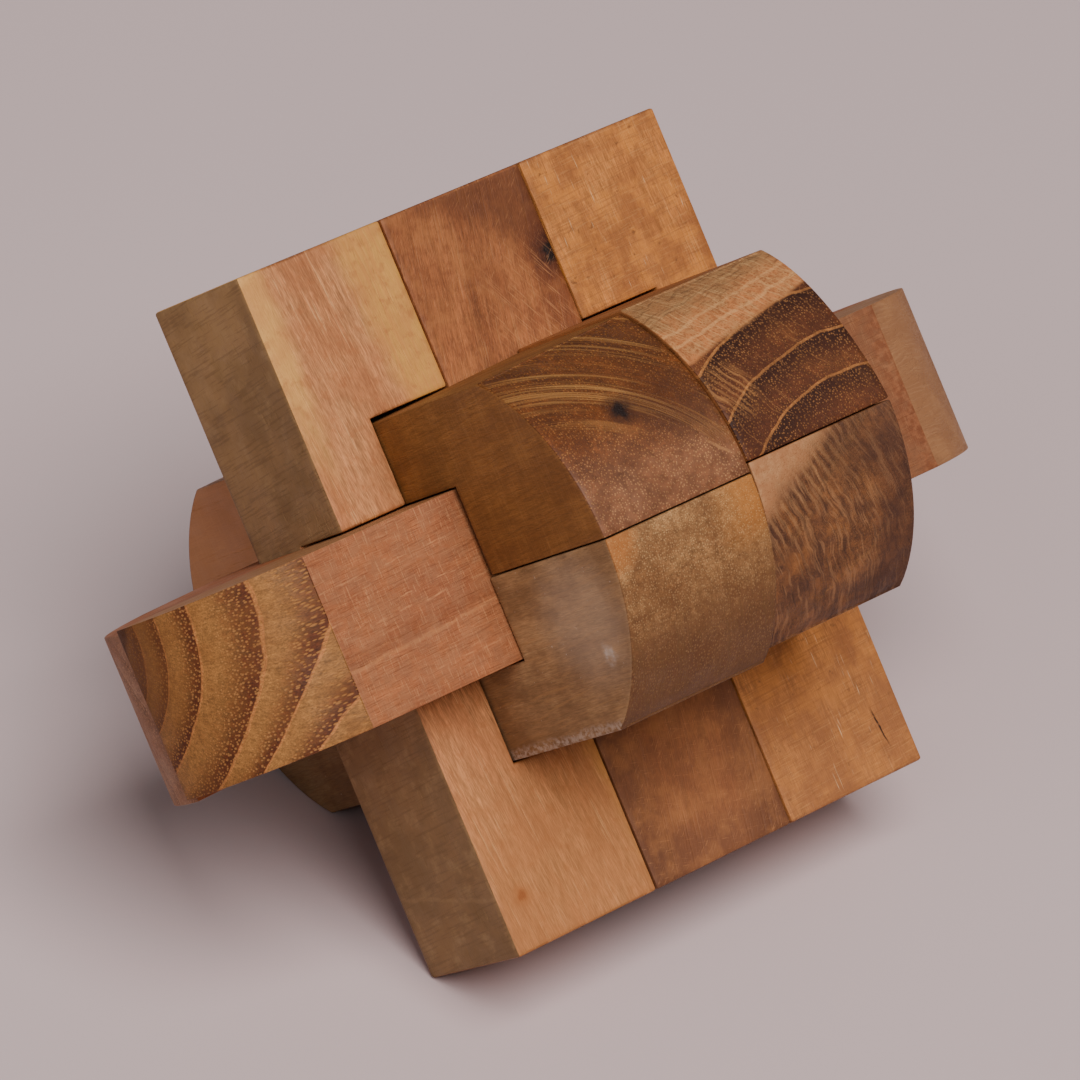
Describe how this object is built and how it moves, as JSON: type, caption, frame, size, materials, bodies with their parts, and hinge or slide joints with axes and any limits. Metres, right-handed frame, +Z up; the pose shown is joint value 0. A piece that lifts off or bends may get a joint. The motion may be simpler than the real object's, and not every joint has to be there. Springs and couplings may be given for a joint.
{
  "type": "wooden burr puzzle",
  "caption": "Hand-sized interlocking wooden burr puzzle: a flat plate of bars, a square block of bars with rounded ends and two rounded arms, unlocked by a plain sliding key bar.",
  "frame": {"origin": "on the table under the middle of the puzzle's box, in the pose in which it lies on a table", "axes": "+X along the two arm bars, the way the key slides; +Z up; the plate leans back from its lower edge, towards +Y at the top"},
  "size_m": [0.1066, 0.0736, 0.0703],
  "materials": {
    "wood_key": "sanded, lightly waxed",
    "wood_lower_arm": "sanded, lightly waxed",
    "wood_plate_left": "sanded, lightly waxed",
    "wood_plate_middle": "sanded, lightly waxed",
    "wood_plate_right": "sanded, lightly waxed",
    "wood_block_back_left": "sanded, lightly waxed",
    "wood_block_back_right": "sanded, lightly waxed",
    "wood_block_front_left": "sanded, lightly waxed",
    "wood_block_front_right": "sanded, lightly waxed"
  },
  "bodies": {
    "puzzle": {"lower_arm_bar": "wood_lower_arm", "plate_bar_left": "wood_plate_left", "plate_bar_middle": "wood_plate_middle", "plate_bar_right": "wood_plate_right", "block_bar_back_left": "wood_block_back_left", "block_bar_back_right": "wood_block_back_right", "block_bar_front_left": "wood_block_front_left", "block_bar_front_right": "wood_block_front_right"},
    "key": {"key_bar": "wood_key"}
  },
  "joints": [
    {"name": "key_slide", "type": "slide", "parent": "puzzle", "child": "key", "axis": [1, 0, 0], "range_m": [-0.085, 0.085]}
  ]
}
